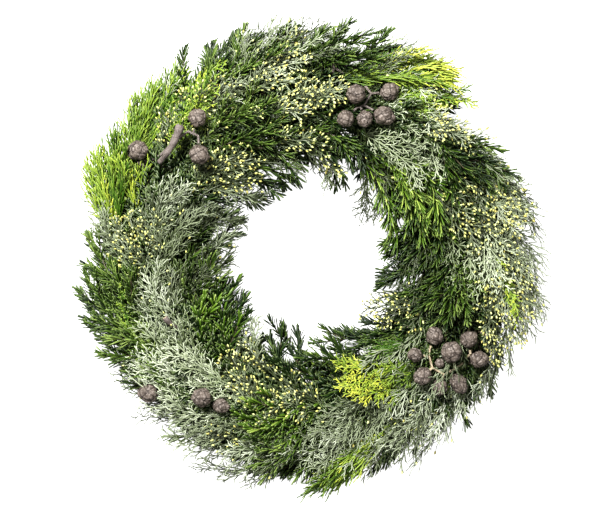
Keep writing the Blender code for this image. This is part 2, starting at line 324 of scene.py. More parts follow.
sprays = {
    "sage": {
        "length": 0.120,  # of a whole spray, metres
        "cover": 0.0026,  # of a patch that each spray covers, square metres
        "orders": ((15, 24, 66, 0.95), (7.0, 36, 21, 0.82), (5.6, 38, 9.5, 0.74)),
        "tilt": 0.15,  # how far twigs stray from its plane
        "buds": 0.0,  # how often a branchlet ends in one
        "band": "sage",
        "tint": 0.62,  # from dark to light
        "range": 0.30,  # how much tints differ
    },
    "grey": {
        "length": 0.105,
        "cover": 0.0026,
        "orders": ((14, 22, 60, 0.88), (7.0, 30, 23, 0.78), (6.0, 32, 10.0, 0.70)),
        "tilt": 0.22,
        "buds": 0.03,
        "band": "blue",
        "tint": 0.50,
        "range": 0.34,
    },
    "blue": {
        "length": 0.100,
        "cover": 0.0025,
        "orders": ((14, 26, 52, 0.88), (6.6, 34, 20, 0.78), (5.6, 36, 9.0, 0.72)),
        "tilt": 0.24,
        "buds": 0.0,
        "band": "blue",
        "tint": 0.68,
        "range": 0.30,
    },
    "thread": {
        "length": 0.125,
        "cover": 0.0026,
        "orders": ((13, 18, 70, 0.84), (9.0, 22, 34, 0.74), (8.0, 26, 14, 0.66)),
        "tilt": 0.16,
        "buds": 0.03,
        "band": "blue",
        "tint": 0.60,
        "range": 0.32,
    },
    "bud": {
        "length": 0.100,
        "cover": 0.0023,
        "orders": ((14, 26, 50, 0.84), (6.6, 34, 19, 0.76), (5.8, 36, 8.0, 0.68)),
        "tilt": 0.28,
        "buds": 0.75,
        "band": "blue",
        "tint": 0.40,
        "range": 0.34,
    },
    "lime": {
        "length": 0.105,
        "cover": 0.0020,
        "orders": ((7, 12, 76, 1.00), (9.0, 14, 38, 0.94), (13.0, 20, 16, 0.84)),
        "tilt": 0.09,
        "buds": 0.0,
        "band": "gold",
        "tint": 0.30,
        "range": 0.34,
    },
    "gold": {
        "length": 0.075,
        "cover": 0.0022,
        "orders": ((10, 32, 36, 0.92), (4.6, 34, 14, 0.86), (3.8, 36, 6.5, 0.80)),
        "tilt": 0.15,
        "buds": 0.0,
        "band": "gold",
        "tint": 0.86,
        "range": 0.42,
    },
}
sprays["frond"] = sprays["gold"] | {
    "length": 0.090,
    "orders": ((11, 28, 42, 0.98), (5.0, 32, 16, 0.92), (4.4, 34, 7.0, 0.82)),
    "tint": 0.46,
}
sprays["hair"] = sprays["thread"] | {
    "cover": 0.0036,
    "orders": ((15, 16, 56, 0.66), (11.0, 20, 26, 0.58), (9.0, 26, 11, 0.52)),
}
sprays["wisp"] = sprays["gold"] | {
    "length": 0.085,
    "cover": 0.0040,
    "orders": ((12, 20, 22, 0.95), (4.4, 26, 9, 0.90), (4.0, 30, 4.5, 0.80)),
    "tint": 0.50,
}
strandShape = {  # shares of its length from root to tip, and of its half width at all but the two ends
    "stem": ((0, 0.1, 0.4, 0.7, 0.95, 1), (1.0, 0.95, 0.85, 0.6)),
    "branchlet": ((0, 0.15, 0.6, 0.93, 1), (0.95, 1.0, 0.75)),
    "cord": ((0, 0.25, 0.85, 1), (1.0, 0.85)),
    "bud": ((0, 0.3, 0.75, 1), (1.0, 0.85)),
    "needle": ((0, 0.12, 0.84, 1), (0.85, 0.95)),
    "blade": ((0, 0.45, 1), (1.0,)),
}
bud = {
    "long": (0.0038, 0.0056),  # metres
    "halfWide": 0.26,  # of its length
    "sunk": 0.0005,  # how far it sits over the end of its cord, metres
    "tint": (0.1, 0.9),
    "onCords": 0.6,  # how often on a cord, against on a branchlet
}
spread = {
    "foot": 1.35,  # half width of a spray's own stem at its foot, against its side stems'
    "end": 0.8,  # and at its tip
    "ownDarker": 0.25,  # how much darker that stem is
    "sideDarker": 0.12,  # and the side stems
    "sideStems": (0.05, 0.85),  # the stretch of a spray that bears side stems
    "branchlets": (0.10, 0.98),  # and branchlets
    "shorter": (0.72, 0.5, 0.35),  # by how much each order is shorter at its parent's tip than at its foot
    "bend": (0.35, 0.3, 0.3),  # how far each order bends forwards
    "uneven": (0.4, 0.3, 0.3),  # how much each order's tint strays, as a share of its spray's range
    "paler": 0.08,  # how much paler branchlets grow along a stem, and cords are than branchlets
    "flat": 0.8,  # thickness against width
}


def cypressSpray(path, normals, look, shade, crossing):
    # every twig is a bent line that starts on its parent; each order starts from the one before
    (every1, angle1, long1, wide1), (every2, angle2, long2, wide2), (every3, angle3, long3, wide3) = [
        (order[0] / 1000, order[1], order[2] / 1000, order[3] / 1000) for order in look["orders"]
    ]
    shorter1, shorter2, shorter3 = spread["shorter"]
    bend1, bend2, bend3 = spread["bend"]
    uneven1, uneven2, uneven3 = spread["uneven"]
    tilt, kind, flat = look["tilt"], look["band"], spread["flat"]
    thick, thin = wide1 * spread["foot"], wide1 * spread["end"]
    parts = [stem(path, normals, thick, thin, kind, shade - spread["ownDarker"])]

    # side stems, longest near the foot, so that they end together in a fan
    place, forward, up, t, side = rootsOnPath(path, normals, every1, *spread["sideStems"])
    scale = pathLength(path) / look["length"]
    first = shoots(place, forward, up, side, angle1, long1 * scale * (1 - shorter1 * t), tilt, bend1)
    firstTint = shade + look["range"] * dice.normal(0, uneven1, len(t))
    first, firstTint = leaveCones(first, firstTint, crossing)
    shares, widths = strandShape["stem"]
    darkerTint = firstTint - spread["sideDarker"]
    parts.append(bentStrands(first, shares, np.array(widths) * wide1, flat, kind, darkerTint, 4))

    # branchlets on the side stems and on the sprig's own stem
    owner, share, side = rootsOn(first, every2)
    parent = pick(first, owner)
    place, forward, up, t, ownSide = rootsOnPath(path, normals, every2, *spread["branchlets"])
    share = np.concatenate([share, t])
    second = shoots(
        np.concatenate([bentPoint(parent, share[: len(owner)]), place]),
        np.concatenate([bentTangent(parent, share[: len(owner)]), forward]),
        np.concatenate([parent["up"], up]),
        np.concatenate([side, ownSide]),
        angle2,
        long2 * (1 - shorter2 * share),
        tilt,
        bend2,
    )
    secondTint = np.concatenate([firstTint[owner], np.full(len(t), shade)])
    secondTint = secondTint + spread["paler"] * share + look["range"] * dice.normal(0, uneven2, len(share))
    second, secondTint = leaveCones(second, secondTint, crossing)
    shares, widths = strandShape["branchlet"]
    parts.append(bentStrands(second, shares, np.array(widths) * wide2, flat, kind, secondTint, 4))

    # cords on the branchlets
    owner, share, side = rootsOn(second, every3)
    parent = pick(second, owner)
    place, forward = bentPoint(parent, share), bentTangent(parent, share)
    third = shoots(place, forward, parent["up"], side, angle3, long3 * (1 - shorter3 * share), tilt, bend3)
    thirdTint = secondTint[owner] + spread["paler"] + look["range"] * dice.normal(0, uneven3, len(share))
    third, thirdTint = leaveCones(third, thirdTint, crossing)
    shares, widths = strandShape["cord"]
    parts.append(bentStrands(third, shares, np.array(widths) * wide3, flat, kind, thirdTint, 3))

    # buds at the ends of branchlets and cords
    for shoot, chance in ((second, look["buds"]), (third, bud["onCords"] * look["buds"])):
        chosen = np.flatnonzero(dice.random(len(shoot["reach"])) < chance)
        if len(chosen) == 0:
            continue
        parent = pick(shoot, chosen)
        end = np.ones(len(chosen))
        ahead = bentTangent(parent, end)
        size = dice.uniform(*bud["long"], len(chosen))
        shares, widths = strandShape["bud"]
        path = bentPoint(parent, end)[:, None] - bud["sunk"] * ahead[:, None]
        path = path + ahead[:, None] * size[:, None, None] * np.array(shares)[:, None]
        width = size[:, None] * bud["halfWide"] * np.array(widths)
        tint = dice.uniform(*bud["tint"], len(chosen))
        parts.append(strands(path, parent["up"], width, 1.0, "bud", tint, 5))
    return parts


# Fir sprigs: a twig with a few side twigs, flat needles round each, swept forwards towards its tip

firs = {
    "under": {  # the inside of the wreath: broad blades with few faces, which hide the floor, tinted near-black as painted shade
        "length": 0.090,
        "cover": 0.0020,
        "twigEvery": 0.018,
        "twigDegrees": 42,
        "twigLength": 0.046,
        "needleEvery": 0.0015,  # along every twig
        "needleLength": 0.019,
        "needleWidth": 0.0025,
        "leaf": "blade",
        "sweep": (62, 36),  # degrees between needle and twig, at the twig's foot and tip
        "band": "fir",
        "tint": 0.02,
        "range": 0.08,
    },
    "fir": {
        "length": 0.100,
        "cover": 0.0024,
        "twigEvery": 0.022,
        "twigDegrees": 34,
        "twigLength": 0.056,
        "needleEvery": 0.00150,
        "needleLength": 0.0200,
        "needleWidth": 0.00116,
        "leaf": "needle",
        "sweep": (54, 26),
        "band": "fir",
        "tint": 0.46,
        "range": 0.44,
    },
    "brush": {
        "length": 0.095,
        "cover": 0.0020,
        "twigEvery": 0.026,
        "twigDegrees": 38,
        "twigLength": 0.045,
        "needleEvery": 0.00200,
        "needleLength": 0.0190,
        "needleWidth": 0.00165,
        "leaf": "needle",
        "sweep": (58, 28),
        "band": "longFir",
        "tint": 0.58,
        "range": 0.36,
    },
    "longFir": {
        "length": 0.105,
        "cover": 0.0022,
        "twigEvery": 0.024,
        "twigDegrees": 34,
        "twigLength": 0.040,
        "needleEvery": 0.00150,
        "needleLength": 0.0260,
        "needleWidth": 0.00120,
        "leaf": "needle",
        "sweep": (46, 20),
        "band": "longFir",
        "tint": 0.56,
        "range": 0.44,
    },
}
needle = {
    "around": 1.0,  # spread of the needles about the top of the twig, radians
    "length": (0.8, 1.12),  # of the sprig's needle length
    "flat": 0.38,  # thickness against width
    "stray": 0.09,  # how much a needle's angle strays, radians
    "curl": 0.2,  # how far it bends forwards
    "lift": 0.08,  # how far it strays up or down
    "uneven": 0.6,  # how much its tint strays, as a share of its sprig's range
    "paler": 0.25,  # how much paler needles grow towards the twig's tip
    "tipFrom": 0.8,  # past this share of the twig they grow shorter
    "tipShorter": 0.3,
}
firTwig = {
    "bark": 0.0010,  # half width
    "foot": 1.5,  # half width of the sprig's own stem at its foot, against that
    "from": 0.04,  # side twigs and needles start at this share of the sprig
    "upTo": 0.78,  # and side twigs end at this one
    "shorter": 0.45,  # by how much they are shorter at its tip than at its foot
    "tilt": 0.12,
    "bend": 0.3,
}


def needles(place, forward, up, t, look, shade, crossing):
    # each leaves the twig at an angle that closes towards the twig's tip, and curls forwards a little:
    # head = cos(angle) * forward + sin(angle) * out, where out turns about the twig at random
    count = len(place)
    around = dice.normal(0, needle["around"], count)[:, None]
    out = np.cos(around) * up + np.sin(around) * np.cross(forward, up)
    wide, close = np.radians(look["sweep"])
    angle = (wide + (close - wide) * t**1.5 + dice.normal(0, needle["stray"], count))[:, None]
    head = np.cos(angle) * forward + np.sin(angle) * out
    pastTip = np.clip(t - needle["tipFrom"], 0, 1) / (1 - needle["tipFrom"])
    shorter = 1 - needle["tipShorter"] * pastTip
    leaf = {
        "start": place,
        "head": head,
        "toward": forward,
        "up": unit(out - (out * head).sum(-1, keepdims=True) * head),
        "reach": look["needleLength"] * dice.uniform(*needle["length"], count) * shorter,
        "bend": np.full((count, 1), needle["curl"]),
        "lift": dice.normal(0.0, needle["lift"], count)[:, None],
    }
    tint = shade + needle["paler"] * np.clip(t - 0.5, 0, 1)
    tint = tint + look["range"] * dice.normal(0, needle["uneven"], count)
    leaf, tint = leaveCones(leaf, tint, crossing)
    shares, widths = strandShape[look["leaf"]]
    sides = 3 if look["leaf"] == "blade" else 4
    widths = np.array(widths) * look["needleWidth"]
    return bentStrands(leaf, shares, widths, needle["flat"], look["band"], tint, sides)


def firSprig(path, normals, look, shade, crossing):
    # a stem, side twigs on it that shorten towards its tip, and needles on them all
    bark, first = firTwig["bark"], firTwig["from"]
    place, forward, up, t, side = rootsOnPath(path, normals, look["twigEvery"], first, firTwig["upTo"])
    scale = pathLength(path) / look["length"]
    reach = look["twigLength"] * scale * (1 - firTwig["shorter"] * t)
    twig = shoots(place, forward, up, side, look["twigDegrees"], reach, firTwig["tilt"], firTwig["bend"])
    twig, twigTint = leaveCones(twig, np.full(len(t), 0.5), crossing)
    shares, widths = strandShape["stem"]
    parts = [
        stem(path, normals, bark * firTwig["foot"], bark, "bark", 0.5),
        bentStrands(twig, shares, np.array(widths) * bark, 1.0, "bark", twigTint, 4),
    ]
    place, forward, up, t, side = rootsOnPath(path, normals, look["needleEvery"], first, 1.0)
    parts.append(needles(place, forward, up, t, look, shade, crossing))
    owner, share, side = rootsOn(twig, look["needleEvery"])
    parent = pick(twig, owner)
    place, forward = bentPoint(parent, share), bentTangent(parent, share)
    parts.append(needles(place, forward, parent["up"], share, look, shade, crossing))
    return parts


def lookOf(kind):
    # the settings of a kind of sprig, fir or cypress
    return firs[kind] if kind in firs else sprays[kind]


def growSprig(kind, path, normals, paintedShade=0.0, crossing=False):
    # a sprig passes under the cones in its way, unless it is one of the few crossing over them
    look = lookOf(kind)
    # painted shade lowers the tint of sprigs that lie low, deep inside or near the hole
    shade = look["tint"] + look["range"] * dice.normal(0, sprig["uneven"]) - paintedShade
    if not crossing and overCone(path + [0, 0, sprig["sink"]], sprig["beside"]).any():
        path = path - [0, 0, sprig["sink"]]
    if kind in firs:
        return firSprig(path, normals, look, shade, crossing)
    return cypressSpray(path, normals, look, shade, crossing)


# Where the sprigs lie

sprig = {
    "points": 9,  # along each sprig's stem
    "foot": 0.72,  # depth of its foot, as a share of the shell's radius
    "fan": 0.45,  # how far out a sprig starts, as a share of how far out it ends
    "swing": 0.013,  # how much its foot strays sideways, metres
    "roll": 0.20,  # how much sprigs lean about their own stems, radians
    "steepest": 0.10,  # least angle from the shell's equator, radians
    "shortest": 0.055,  # metres
    "layers": 0.012,  # between the lowest and the highest sprigs of a patch, metres
    "shade": 0.38,  # painted shade: how much darker the lowest ones are
    "uneven": 0.4,  # how much sprigs of a kind differ in tint, as a share of its range
    "needles": 0.007,  # how much lower the firs lie, as their needles stand up, metres
    "bed": 0.010,  # how far under each pale sprig a dark one, tinted near-black as painted shade, lies, metres
    "bedLength": 0.78,  # of the pale one's
    "gather": 0.30,  # how far the dark one is drawn to the ring's middle line
    "sink": 0.010,  # how far a sprig is lowered to pass under a cone, metres
    "beside": 0.004,  # how near to a cone that happens, metres
    "inside": 0.30,  # painted shade: how much darker the sprigs at the hole are
    "insideEdge": (0.170, 0.110),  # tip radii between which that grows
    "crossing": 15,  # sprigs of a patch this many millimetres up may cross over the cones
    "halfway": 0.6,  # of a sprig's way out, the radius at which its length is measured along the ring
    "curve": 1.15,  # how late a sprig swings out to its tip's radius
    "climb": 0.8,  # how early it rises to its tip's height
    "skin": 0.98,  # least depth where it runs, against the shell's edge
    "strayTurn": 0.01,  # how much its tip strays along the ring, radians
    "strayLength": (0.88, 1.12),
    "spare": 0.7,  # of a sprig's length, kept clear behind the first tip of a patch
    "margin": 0.1,  # of a patch's width, kept clear on each side
}


def rolled(path, normals, angle):
    # the normals turned about the stem by this angle
    forward = unit(np.gradient(path, axis=0))
    return unit(np.cos(angle) * normals + np.sin(angle) * np.cross(forward, normals))


def topPath(tipTurn, tipRadius, length, above):
    # clockwise along the ring to the tip, starting deeper and nearer the ring's middle line, so that sprigs
    # fan out: each coordinate goes from foot to tip as a power of t
    t = np.linspace(0, 1, sprig["points"])
    tipAcross = tipRadius - ringRadius
    footAcross = tipAcross * sprig["fan"] + dice.normal(0, sprig["swing"])
    across = footAcross + (tipAcross - footAcross) * t ** sprig["curve"]
    turn = tipTurn + (1 - t) * length / (ringRadius + sprig["halfway"] * tipAcross)
    top = 1.0 + above / rise
    depth = sprig["foot"] + (top - sprig["foot"]) * t ** sprig["climb"]
    depth = np.maximum(depth, np.abs(across) / halfWidth * sprig["skin"])
    around = np.arccos(np.clip(across / (halfWidth * depth), -1, 1))
    around = np.clip(around, sprig["steepest"], np.pi - sprig["steepest"])
    return shellPoint(turn, around, depth), rollEach(turn, around, depth)


def rollEach(turn, around, depth):
    # the shell's normals along a path, leaning at random about its stem
    lean = dice.normal(0, sprig["roll"])
    return rolled(shellPoint(turn, around, depth), shellNormal(turn, around), lean)


def fillPath(bunch, begin, end, beside, deeper):
    # through the bunch's own solid: turn and depth run evenly from its stems to its tip, this much deeper
    # than its skin and rising, and the angle opens from near its middle line to this far beside it, as
    # t ** 0.8
    t = np.linspace(0, 1, sprig["points"])
    share = begin + (end - begin) * t
    turn = bunch["base"] + (bunch["tip"] - bunch["base"]) * share
    around = bunch["middle"] + bunch["spread"] * beside * (under["together"] * (1 - t**0.8) + t**0.8)
    along = (share - leafy["from"]) / (1 - leafy["from"])
    depth = bunch["low"] + (bunch["high"] - bunch["low"]) * along - deeper + under["rising"] * t
    depth = np.maximum(depth, under["deepest"])
    return shellPoint(turn, around, depth), rollEach(turn, around, depth)


# Where each green shows on top: its kind, the stretch of ring it covers in degrees (sprigs point
# clockwise), its nearest and farthest from the ring's centre, and how far it stands above the rest, in
# millimetres.
patches = [
    ("fir", 190, 173, 252, 304, 0),
    ("bud", 183, 165, 172, 286, 3),
    ("blue", 177, 162, 256, 312, 3),
    ("lime", 172, 140, 240, 300, 2),
    ("lime", 150, 124, 254, 308, 1),
    ("frond", 134, 112, 246, 292, 7),
    ("blue", 136, 120, 282, 318, 3),
    ("grey", 181, 147, 124, 232, 4),
    ("fir", 172, 140, 100, 170, 0),
    ("grey", 186, 150, 84, 132, 1),
    ("bud", 140, 110, 206, 266, 3),
    ("frond", 138, 116, 226, 272, 9),
    ("grey", 136, 108, 216, 262, 2),
    ("fir", 128, 101, 144, 226, 12),
    ("fir", 122, 101, 262, 322, 2),
    ("fir", 188, 158, 72, 116, 0),
    ("fir", 152, 124, 72, 118, 0),
    ("grey", 190, 160, 73, 116, 3),
    ("fir", 138, 112, 74, 130, 0),
    ("blue", 174, 146, 76, 120, 2),
    ("grey", 158, 128, 74, 116, 3),
    ("fir", 126, 92, 84, 150, 0),
    ("grey", 132, 96, 84, 136, 4),
    ("bud", 150, 116, 104, 180, 4),
    ("bud", 108, 88, 108, 306, 6),
    ("grey", 112, 95, 276, 328, 1),
    ("wisp", 98, 82, 292, 324, 4),
    ("grey", 100, 80, 256, 324, 1),
    ("fir", 110, 90, 262, 316, 6),
    ("fir", 88, 66, 254, 316, 10),
    ("bud", 93, 77, 186, 252, 8),
    ("lime", 74, 52, 262, 300, 1),
    ("grey", 74, 50, 244, 322, 3),
    ("frond", 72, 42, 256, 316, 8),
    ("frond", 68, 46, 224, 262, 9),
    ("sage", 70, 30, 148, 246, 9),
    ("bud", 50, 32, 232, 284, 3),
    ("fir", 38, 19, 226, 284, 14),
    ("fir", 92, 60, 88, 180, 5),
    ("blue", 98, 72, 76, 118, 2),
    ("bud", 94, 74, 84, 132, 3),
    ("grey", 68, 30, 72, 132, 3),
    ("longFir", 54, 9, 74, 206, 6),
    ("bud", 29, 2, 190, 284, 6),
    ("blue", 27, -4, 246, 308, 3),
    ("hair", 30, 2, 262, 318, 5),
    ("fir", 26, -8, 80, 190, -2),
    ("fir", 34, 2, 72, 118, -6),
    ("fir", 14, -18, 72, 118, -6),
    ("thread", 16, -2, 78, 160, 4),
    ("bud", 364, 342, 226, 306, 3),
    ("thread", 364, 340, 250, 312, 4),
    ("hair", 366, 345, 270, 322, 5),
    ("wisp", 364, 342, 252, 276, 20),
    ("wisp", 361, 344, 258, 272, 22),
    ("sage", 368, 346, 164, 262, 7),
    ("fir", 358, 333, 130, 240, 7),
    ("bud", 354, 330, 226, 294, 4),
    ("fir", 334, 309, 250, 278, 0),
    ("grey", 338, 308, 232, 284, -3),
    ("wisp", 330, 316, 216, 258, 1),
    ("fir", 334, 296, 80, 200, 0),
    ("thread", 328, 298, 104, 292, 4),
    ("frond", 320, 298, 118, 196, 13),
    ("gold", 306, 279, 116, 202, 15),
    ("bud", 343, 318, 72, 160, 4),
    ("fir", 362, 330, 78, 156, 0),
    ("thread", 360, 332, 80, 126, 3),
    ("fir", 318, 270, 76, 132, 0),
    ("grey", 303, 267, 182, 248, 4),
    ("wisp", 300, 284, 226, 256, 7),
    ("blue", 292, 262, 200, 282, 7),
    ("lime", 288, 271, 256, 300, 3),
    ("hair", 318, 296, 262, 306, 4),
    ("grey", 312, 280, 240, 284, 4),
    ("fir", 271, 246, 216, 284, 5),
    ("grey", 266, 244, 246, 286, 3),
    ("bud", 260, 241, 226, 266, 5),
    ("brush", 268, 241, 178, 240, 8),
    ("bud", 274, 254, 140, 210, 5),
    ("fir", 272, 240, 74, 146, 0),
    ("bud", 260, 228, 112, 190, 4),
    ("blue", 257, 218, 238, 306, 5),
    ("grey", 228, 206, 244, 296, 1),
    ("sage", 246, 200, 156, 282, 8),
    ("fir", 236, 208, 72, 116, 0),
    ("blue", 254, 226, 73, 116, 1),
    ("brush", 238, 190, 74, 168, 3),
    ("blue", 246, 218, 76, 130, 2),
    ("fir", 226, 189, 236, 292, 1),
    ("fir", 204, 182, 244, 316, 1),
    ("wisp", 208, 188, 224, 250, 8),
    ("fir", 200, 179, 218, 274, 1),
    ("grey", 209, 179, 156, 222, 4),
    ("fir", 206, 174, 92, 156, 0),
    ("thread", 206, 178, 84, 120, 3),
    ("hair", 336, 314, 200, 238, 20),
]
laneEdges = {"inner": 0.165, "outer": 0.232, "ahead": 0.05}  # metres from the centre, and radians

# What fills each kind of bunch under the patches.
fills = {
    "fir": ["under", "under", "fir", "under", "fir", "under", "under"],
    "cypress": ["under", "under", "fir", "under", "grey", "under", "under"],
    "gold": ["under", "under", "fir", "under", "lime", "under", "under"],
}
under = {  # shares of the bunch's length or of the shell's radius
    "begin": (0.14, 0.34),
    "reach": 0.54,
    "beside": 0.80,
    "together": 0.35,  # how near each other they start, against how they end
    "deeper": (0.12, 0.34),
    "sunk": 0.22,  # how much deeper still the dark ones lie
    "rising": 0.12,
    "deepest": 0.15,
    # painted shade: how much darker the sprigs inside a bunch are
    "paintedShade": 0.15,
}


def bunchUnder(turn, radius):
    # the bunch of that lane whose tip is just clockwise of the sprig's tip, or hardly ahead of it
    lane = "inner" if radius < laneEdges["inner"] else "outer" if radius > laneEdges["outer"] else "crown"
    mine = [bunch for bunch in bunches if bunch["lane"] == lane]
    return min(mine, key=lambda bunch: (turn - bunch["tip"] + laneEdges["ahead"]) % (2 * np.pi))


def patchSprigs(kind, start, end, near, far):
    # tips spread evenly: equal steps along the patch, and steps of the golden ratio across it
    look = lookOf(kind)
    near, far = near / 1000, far / 1000
    span = np.radians(start - end) * (near + far) / 2
    length = np.clip(span, sprig["shortest"], look["length"])
    count = max(1, round(span * (far - near) / look["cover"]))
    along = (np.arange(count) + 0.5) / count if count > 1 else np.zeros(1)
    across = (np.arange(count) * 0.618 + 0.5) % 1
    room = max(span - sprig["spare"] * length, 0) / (near + far) * 2
    turns = np.radians(end) + room * along + dice.normal(0, sprig["strayTurn"], count)
    radii = near + (far - near) * (sprig["margin"] + (1 - 2 * sprig["margin"]) * across)
    return zip(turns, radii, length * dice.uniform(*sprig["strayLength"], count))


def bedPath(path, normals):
    # under a pale sprig: lower, nearer the ring's middle line, and ending short of its tip
    inward = 1 + sprig["gather"] * (ringRadius / np.hypot(path[:, 0], path[:, 1]) - 1)
    lower = path * np.stack([inward, inward, np.ones(len(path))], -1) - [0, 0, sprig["bed"]]
    kept = round(len(path) * sprig["bedLength"])
    return lower[:kept], normals[:kept]


# Greens inside each bunch, darkened as painted shade, a bed of near-black ones all round as painted shade,
# then the patches on top

for bunch in bunches:
    bunch["parts"] = []
    besides = np.linspace(-1, 1, len(fills[bunch["kind"]])) * under["beside"]
    for kind, beside in zip(fills[bunch["kind"]], besides):
        begin = dice.uniform(*under["begin"])
        deeper = dice.uniform(*under["deeper"]) + (under["sunk"] if kind == "under" else 0)
        path, normals = fillPath(bunch, begin, begin + under["reach"], beside, deeper)
        bunch["parts"] += growSprig(kind, path, normals, under["paintedShade"])

beds = {"every": 30, "span": 46, "near": 112, "far": 272, "above": -20}  # degrees and millimetres
bedPatches = [
    ("under", start + beds["span"], start, beds["near"], beds["far"], beds["above"])
    for start in range(0, 360, beds["every"])
]
noBed = ("wisp", "hair")  # thin sprays over others, with no dark sprig of painted shade of their own beneath
sprigCount = 0
for kind, start, end, near, far, above in bedPatches + patches:
    for turn, radius, length in patchSprigs(kind, start, end, near, far):
        layer = dice.random()
        height = above / 1000 + sprig["layers"] * (layer - 0.5) - (sprig["needles"] if kind in firs else 0)
        path, normals = topPath(turn, radius, length, height)
        bunch = bunchUnder(turn, radius)
        # painted shade: the lower sprigs of a patch, and sprigs near the hole, are darkened
        inside = np.interp(-radius, -np.array(sprig["insideEdge"]), (0, 1))
        paintedShade = sprig["shade"] * (1 - layer) + sprig["inside"] * inside
        bunch["parts"] += growSprig(kind, path, normals, paintedShade, above >= sprig["crossing"])
        # beneath each pale spray lies a near-black under sprig, as painted shade
        if kind in sprays and kind not in noBed:
            bunch["parts"] += growSprig("under", *bedPath(path, normals))
        sprigCount += 1
print(sprigCount, "sprigs on top")

# Bare stems of each bunch, bound to the frame

stems = {
    "count": 5,
    "thick": 0.0019,  # half width, metres
    "thinner": 0.8,  # at the leaves, against that
    "levels": (0.0, 0.06, 0.12, 0.18, 0.24, 0.34),  # shares of the bunch's length where their path is set
    "crowd": 0.00176,  # from the middle of the bundle to each stem, metres
    "splay": 2.5,  # how much farther apart they are where the leaves begin
    "tint": (0.2, 0.9),
    "corners": 8,  # of the bunch's solid, whose mean is the middle of the bundle at each level
}


def bareStems(bunch):
    # from the bunch's root, side by side inside the binding, out to where its leaves begin
    corners = readCorners(bunch["name"])
    turn = np.arctan2(corners[:, 1], corners[:, 0])
    share = ((bunch["base"] - turn) % (2 * np.pi)) / (bunch["base"] - bunch["tip"])
    share = np.where(share > 1.5, 0, share)  # a corner just behind the base counts as at it
    nearest = [np.argsort(np.abs(share - level))[: stems["corners"]] for level in stems["levels"]]
    middle = np.array([corners[index].mean(0) for index in nearest])
    radial = unit(middle * [1, 1, 0])
    parts = []
    for i in range(stems["count"]):
        angle = 2 * np.pi * i / stems["count"]
        beside = stems["crowd"] * (np.cos(angle) * radial + np.sin(angle) * np.array([0, 0, 1.0]))
        path = middle + beside * np.linspace(1, stems["splay"], len(middle))[:, None]
        thin = stems["thick"] * stems["thinner"]
        parts.append(stem(path, radial, stems["thick"], thin, "bark", dice.uniform(*stems["tint"])))
    return parts


for bunch in bunches:
    bunch["parts"] += bareStems(bunch)

# Materials of the greens


def newGroup(name, inputs, outputs):
    # an empty node group with these named inputs and their values, and these outputs
    group = bpy.data.node_groups.new(name, "ShaderNodeTree")
    for socketName, kind, value in inputs:
        socket = group.interface.new_socket(socketName, in_out="INPUT", socket_type=kind)
        socket.default_value = value
    for socketName, kind in outputs:
        group.interface.new_socket(socketName, in_out="OUTPUT", socket_type=kind)
    return group, group.nodes.new("NodeGroupInput"), group.nodes.new("NodeGroupOutput")


def addMath(tree, operation, first, second=None, third=None):
    # one Math node, each input a number or a socket
    node = tree.nodes.new("ShaderNodeMath")
    node.operation = operation
    for i, value in enumerate((first, second, third)):
        if value is None:
            continue
        if isinstance(value, (int, float)):
            node.inputs[i].default_value = value
        else:
            tree.links.new(value, node.inputs[i])
    return node.outputs[0]


def addMix(tree, share, first, second):
    # first * (1 - share) + second * share, for two colours from sockets
    node = tree.nodes.new("ShaderNodeMix")
    node.data_type = "RGBA"
    for socket, value in ((node.inputs[0], share), (node.inputs[6], first), (node.inputs[7], second)):
        tree.links.new(value, socket)
    return node.outputs[2]


def addSmooth(tree, value, low, high):
    # 0 below low, 1 above high, and a smooth step between
    node = tree.nodes.new("ShaderNodeMapRange")
    node.interpolation_type = "SMOOTHSTEP"
    node.inputs["From Min"].default_value = low
    node.inputs["From Max"].default_value = high
    tree.links.new(value, node.inputs["Value"])
    return node.outputs[0]


toneEdges = {"root": (0.02, 0.45), "tip": (0.6, 1.0)}  # where the root's painted shade ends and the tip's colour begins: a painted highlight on leaves, the green of young wood on bark


def makeLeafTone():
    # colour along a strand from its root, darkened there as painted shade, to its tip, lightened there as a
    # painted highlight on leaves, between a dark and a light leaf by its tint
    group, given, out = newGroup(
        "leafTone",
        [
            ("Root Shade", "NodeSocketColor", (0.02, 0.03, 0.01, 1)),
            ("Dark", "NodeSocketColor", (0.03, 0.06, 0.02, 1)),
            ("Middle", "NodeSocketColor", (0.1, 0.2, 0.05, 1)),
            ("Light", "NodeSocketColor", (0.3, 0.4, 0.1, 1)),
            ("Tip", "NodeSocketColor", (0.4, 0.5, 0.2, 1)),
            ("Tip Share", "NodeSocketFloat", 0.5),
        ],
        [("Color", "NodeSocketColor")],
    )
    leafMap = group.nodes.new("ShaderNodeUVMap")
    leafMap.uv_map = "OFBake"
    split = group.nodes.new("ShaderNodeSeparateXYZ")
    group.links.new(leafMap.outputs[0], split.inputs[0])
    inBand = addMath(group, "FRACT", addMath(group, "MULTIPLY", split.outputs[1], float(len(bands))))
    low, high = band["edge"], 1 - band["edge"]
    middle = addSmooth(group, inBand, low, 0.5)
    light = addSmooth(group, inBand, 0.5, high)
    pastRoot = addSmooth(group, split.outputs[0], *toneEdges["root"])
    nearTip = addSmooth(group, split.outputs[0], *toneEdges["tip"])
    tone = addMix(group, middle, given.outputs["Dark"], given.outputs["Middle"])
    tone = addMix(group, light, tone, given.outputs["Light"])
    # painted shade: each strand darkens towards its root, deep among the others
    tone = addMix(group, pastRoot, given.outputs["Root Shade"], tone)
    # painted highlight: leaves lighten towards their tips; on bark the tip colour is the twig's own young
    # green
    tipped = addMath(group, "MULTIPLY", nearTip, given.outputs["Tip Share"])
    group.links.new(addMix(group, tipped, tone, given.outputs["Tip"]), out.inputs["Color"])
    return group


